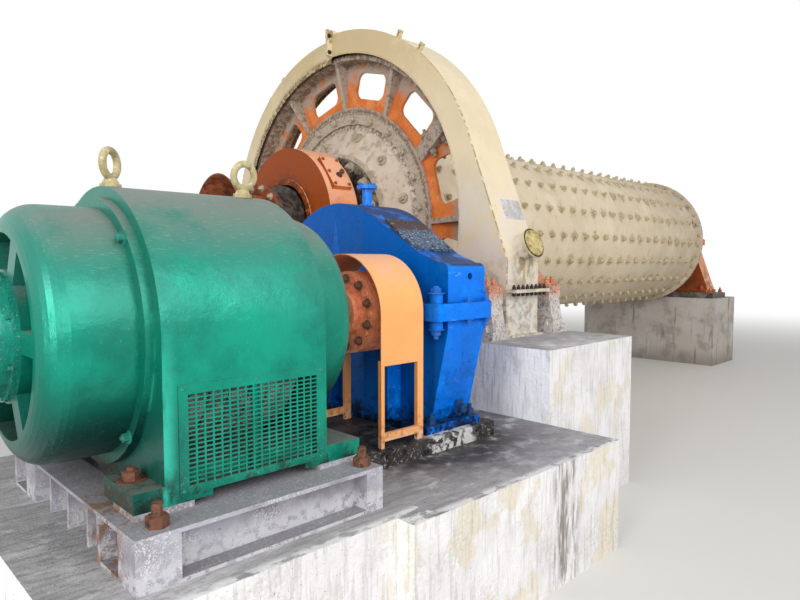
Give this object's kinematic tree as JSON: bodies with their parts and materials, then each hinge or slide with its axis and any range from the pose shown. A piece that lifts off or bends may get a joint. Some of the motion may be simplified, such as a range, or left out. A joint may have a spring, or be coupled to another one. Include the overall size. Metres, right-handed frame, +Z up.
{
  "type": "ball mill",
  "caption": "Ball mill: bolted drum on two trunnion bearings, girth gear under a guard, driven through a pinion, gearbox and motor on concrete piers.",
  "frame": {"origin": "on the floor under the middle of the discharge bearing, on the mill's centre line", "axes": "+X along the mill axis from the discharge end to the feed end, +Z up, the motor and gearbox stand on the -Y side"},
  "size_m": [13.1903, 5.575, 4.405],
  "materials": {
    "concrete": "rough",
    "base_paint": "matt",
    "motor_paint": "gloss",
    "eye_paint": "satin",
    "cover_orange": "satin",
    "grout": "rough",
    "gearbox_paint": "gloss",
    "dusty_plate": "rough",
    "breather_paint": "gloss",
    "shaft_steel": "machined",
    "bearing_orange": "satin",
    "guard_cream": "matt",
    "sole_grey": "rough",
    "shell_cream": "matt",
    "head_cream": "dirty",
    "trunnion_steel": "machined",
    "gear_orange": "dirty",
    "spout_rust": "rusty",
    "coupling_red": "satin"
  },
  "bodies": {
    "root": {"drive_plinth": "concrete", "discharge_pier": "concrete", "feed_pier": "concrete", "motor_base_frame": "base_paint", "motor_frame": "motor_paint", "motor_grille_front": "motor_paint", "motor_grille_back": "motor_paint", "motor_drive_bell": "motor_paint", "motor_rear_bell": "motor_paint", "slip_ring_housing": "motor_paint", "lifting_eye_drive": "eye_paint", "lifting_eye_rear": "eye_paint", "coupling_guard": "cover_orange", "gearbox_sole": "grout", "gearbox_lower_housing": "gearbox_paint", "gearbox_cover": "gearbox_paint", "gearbox_inspection_cover": "dusty_plate", "gearbox_breather": "breather_paint", "pinion_bearing_drive": "bearing_orange", "pinion_bearing_far": "bearing_orange", "gear_guard_lower": "guard_cream", "gear_guard_drive_side": "guard_cream", "gear_guard_far_side": "guard_cream", "discharge_bearing_sole": "sole_grey", "discharge_bearing_base": "bearing_orange", "discharge_bearing_cap": "bearing_orange", "discharge_bearing_cover": "bearing_orange", "feed_bearing_sole": "sole_grey", "feed_bearing_base": "bearing_orange", "feed_bearing_cap": "bearing_orange"},
    "drum": {"mill_shell": "shell_cream", "discharge_head": "head_cream", "feed_head": "head_cream", "discharge_trunnion": "trunnion_steel", "feed_trunnion": "trunnion_steel", "girth_gear_lower_half": "gear_orange", "girth_gear_upper_half": "gear_orange", "discharge_spout": "spout_rust", "feed_spout": "spout_rust"},
    "pinion_line": {"pinion_shaft": "shaft_steel", "slow_coupling": "coupling_red", "gearbox_output_shaft": "shaft_steel"},
    "motor_line": {"motor_shaft": "shaft_steel", "motor_coupling": "coupling_red", "gearbox_input_shaft": "shaft_steel"}
  },
  "joints": [
    {"name": "drum_spin", "type": "hinge", "parent": "root", "child": "drum", "pos_m": [0, 0, 2.3], "axis": [1, 0, 0], "continuous": true},
    {"name": "pinion_spin", "type": "hinge", "parent": "root", "child": "pinion_line", "pos_m": [0, -1.95, 1.60545], "axis": [1, 0, 0], "continuous": true},
    {"name": "motor_spin", "type": "hinge", "parent": "root", "child": "motor_line", "pos_m": [0, -2.53, 1.60545], "axis": [1, 0, 0], "continuous": true}
  ],
  "couplings": [
    {"joint": "pinion_spin", "follows": "drum_spin", "ratio": -8},
    {"joint": "motor_spin", "follows": "drum_spin", "ratio": 32}
  ]
}
